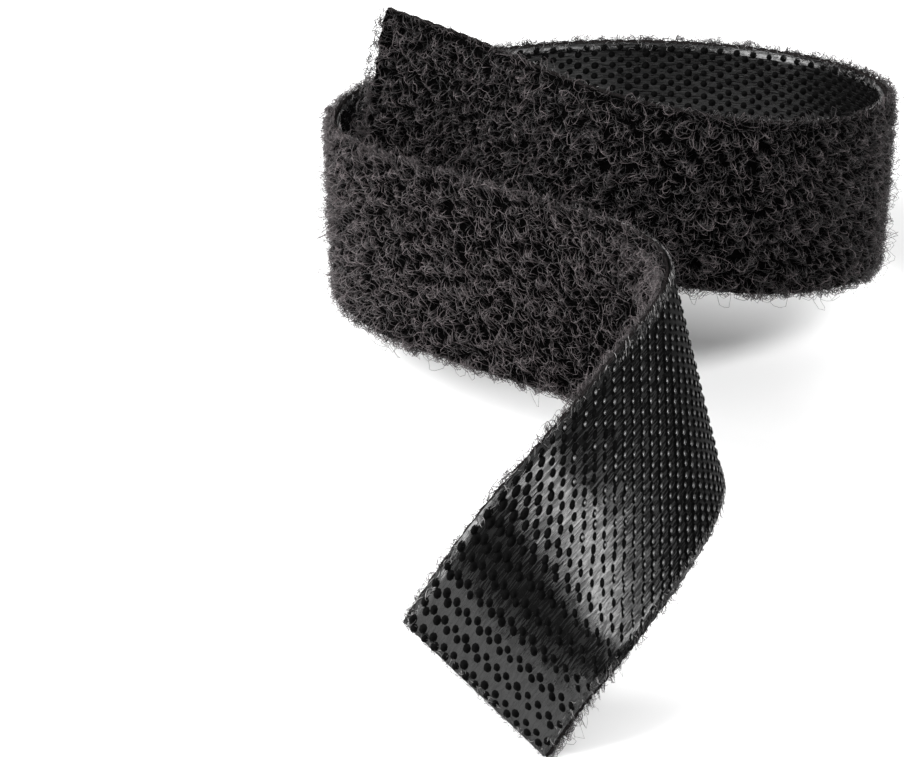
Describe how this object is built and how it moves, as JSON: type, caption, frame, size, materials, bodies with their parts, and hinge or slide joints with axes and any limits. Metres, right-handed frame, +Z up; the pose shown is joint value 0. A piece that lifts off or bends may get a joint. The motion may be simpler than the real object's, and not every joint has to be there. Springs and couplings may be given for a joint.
{
  "type": "hook and loop tape",
  "caption": "Cut strip of black back-to-back hook and loop tape lying in a loose coil, soft looped pile outside and moulded hooks inside, its outer end rolled over into a free tail.",
  "frame": {"origin": "middle of the footprint's bounding box, on the floor that the coil's back edge and the tail's corner rest on", "axes": "+Z up, +Y from the tail's free end towards the back of the coil, +X to the right as seen from the tail"},
  "size_m": [0.0654, 0.1112, 0.037],
  "materials": {
    "loop_pile": "brushed nylon loop pile, charcoal black, fuzzy and matt",
    "ground_cloth": "tight knitted ground with a cut selvage, black, matt",
    "hook_film": "moulded film with rows of small hooks, black, glossy, finely streaked along the tape"
  },
  "bodies": {
    "coil": {"loop_pile_coil": "loop_pile", "ground_cloth_coil": "ground_cloth", "hook_film_coil": "hook_film"},
    "lead_end": {"loop_pile_lead_end": "loop_pile", "ground_cloth_lead_end": "ground_cloth", "hook_film_lead_end": "hook_film"},
    "front_run": {"loop_pile_front_run": "loop_pile", "ground_cloth_front_run": "ground_cloth", "hook_film_front_run": "hook_film"},
    "tail": {"loop_pile_tail": "loop_pile", "ground_cloth_tail": "ground_cloth", "hook_film_tail": "hook_film"}
  },
  "joints": [
    {"name": "lead_end_flex", "type": "hinge", "parent": "coil", "child": "lead_end", "pos_m": [0.0107, 0.00681, 0.02465], "axis": [0.115, 0.173, 0.9782], "range_deg": [-25, 0], "stiffness_Nm_per_rad": 0.008},
    {"name": "run_peel", "type": "hinge", "parent": "coil", "child": "front_run", "pos_m": [-0.0281, 0.01507, 0.01594], "axis": [-0.092, 0.4429, 0.8918], "range_deg": [-35, 0], "stiffness_Nm_per_rad": 0.008},
    {"name": "tail_flex", "type": "hinge", "parent": "front_run", "child": "tail", "pos_m": [0.00735, -0.02327, 0.01996], "axis": [-0.2211, 0.6463, 0.7303], "range_deg": [-15, 25], "stiffness_Nm_per_rad": 0.008}
  ]
}
